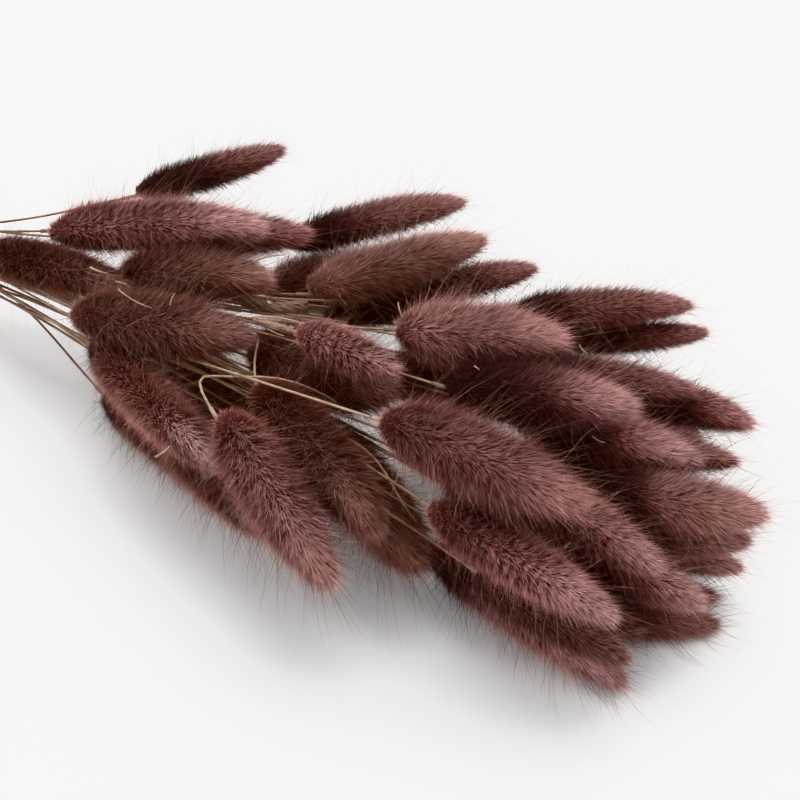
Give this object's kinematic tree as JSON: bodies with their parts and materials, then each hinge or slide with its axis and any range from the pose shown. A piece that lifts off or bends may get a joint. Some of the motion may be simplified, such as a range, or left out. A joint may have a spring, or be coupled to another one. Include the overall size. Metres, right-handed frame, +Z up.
{
  "type": "dried bunny tail grass bunch",
  "caption": "Bunch of dyed, dried bunny tail grass lying on its side: long woolly tapering heads on thin straw stems, gathered and tied with twine.",
  "frame": {"origin": "middle of the underside of the bunch's box, on the surface that the bunch lies on", "axes": "+X along the bunch from the cut stem ends to the tips of the heads, +Y to its left as seen from the cut ends, +Z up"},
  "size_m": [0.424, 0.1704, 0.0745],
  "materials": {
    "grass_head": "dense woolly hair dyed dusty mauve, dark at the roots and paler at the tips",
    "straw_stem": "dry straw with fine lengthwise grain, faintly glossy",
    "twine": "plain twisted natural fibre twine, matt"
  },
  "bodies": {
    "root": {"head_01": "grass_head", "head_02": "grass_head", "head_03": "grass_head", "head_04": "grass_head", "head_05": "grass_head", "head_06": "grass_head", "head_07": "grass_head", "head_08": "grass_head", "head_09": "grass_head", "head_10": "grass_head", "head_11": "grass_head", "head_12": "grass_head", "head_13": "grass_head", "head_14": "grass_head", "head_15": "grass_head", "head_16": "grass_head", "head_17": "grass_head", "head_18": "grass_head", "head_19": "grass_head", "head_20": "grass_head", "head_21": "grass_head", "head_22": "grass_head", "head_23": "grass_head", "head_24": "grass_head", "head_25": "grass_head", "head_26": "grass_head", "head_27": "grass_head", "head_28": "grass_head", "head_29": "grass_head", "head_30": "grass_head", "head_31": "grass_head", "head_32": "grass_head", "head_33": "grass_head", "head_34": "grass_head", "head_35": "grass_head", "head_36": "grass_head", "head_37": "grass_head", "head_38": "grass_head", "head_39": "grass_head", "head_40": "grass_head", "head_41": "grass_head", "head_42": "grass_head", "head_43": "grass_head", "head_44": "grass_head", "head_45": "grass_head", "head_46": "grass_head", "head_47": "grass_head", "stems_01": "straw_stem", "stems_02": "straw_stem", "stems_03": "straw_stem", "stems_04": "straw_stem", "stems_05": "straw_stem", "stems_06": "straw_stem", "stems_07": "straw_stem", "stems_08": "straw_stem", "stems_09": "straw_stem", "stems_10": "straw_stem", "stems_11": "straw_stem", "stems_12": "straw_stem", "twine_binding": "twine"}
  },
  "joints": []
}
